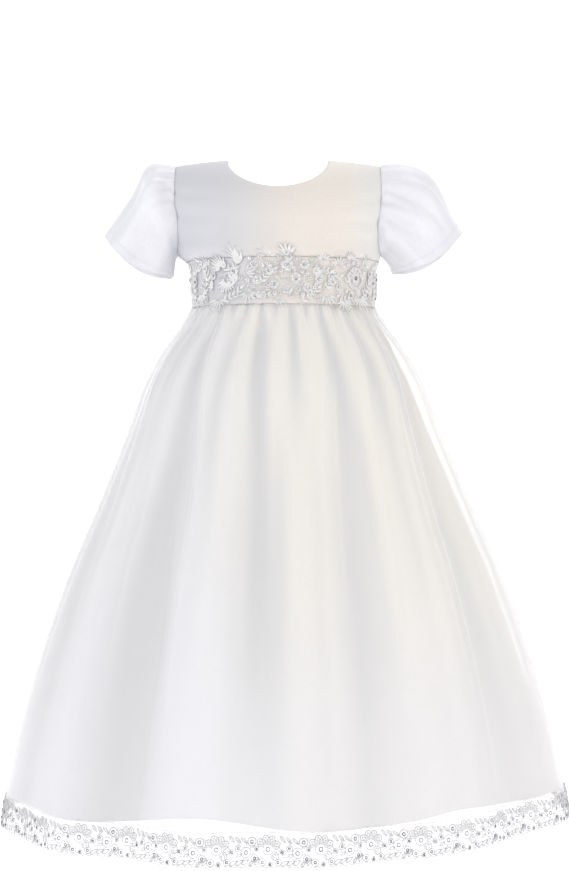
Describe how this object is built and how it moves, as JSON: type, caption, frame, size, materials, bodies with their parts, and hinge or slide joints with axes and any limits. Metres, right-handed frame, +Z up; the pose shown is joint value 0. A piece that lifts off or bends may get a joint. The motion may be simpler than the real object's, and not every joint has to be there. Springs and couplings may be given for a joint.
{
  "type": "christening gown",
  "caption": "Baby's long christening gown with short puff sleeves, a lace waistband, and a gathered sheer skirt over a lining with a lace hem.",
  "frame": {"origin": "between the shoulders, level with the shoulder seams, where the wearer holds the gown up", "axes": "+X to the picture's right across the gown, +Y from the front to the back, +Z up"},
  "size_m": [0.5278, 0.4189, 0.6155],
  "materials": {
    "bodice": "soft satin under sheer organza",
    "sleeve": "satin",
    "organza": "sheer organza",
    "lining": "matt taffeta",
    "lace": "embroidered lace with beads",
    "button": "cloth-covered button"
  },
  "bodies": {
    "root": {"bodice_front": "bodice", "bodice_back_left": "bodice", "bodice_back_right": "bodice", "sleeve_left": "sleeve", "sleeve_right": "sleeve", "waistband_front": "bodice", "waistband_back_left": "bodice", "waistband_back_right": "bodice", "waist_lace_front": "lace", "waist_lace_back_left": "lace", "waist_lace_back_right": "lace", "skirt_overlay_front": "organza", "skirt_overlay_back": "organza", "skirt_lining_front": "lining", "skirt_lining_back": "lining", "hem_lace_front": "lace", "hem_lace_back": "lace", "button_1": "button", "button_2": "button", "button_3": "button", "button_4": "button"}
  },
  "joints": []
}
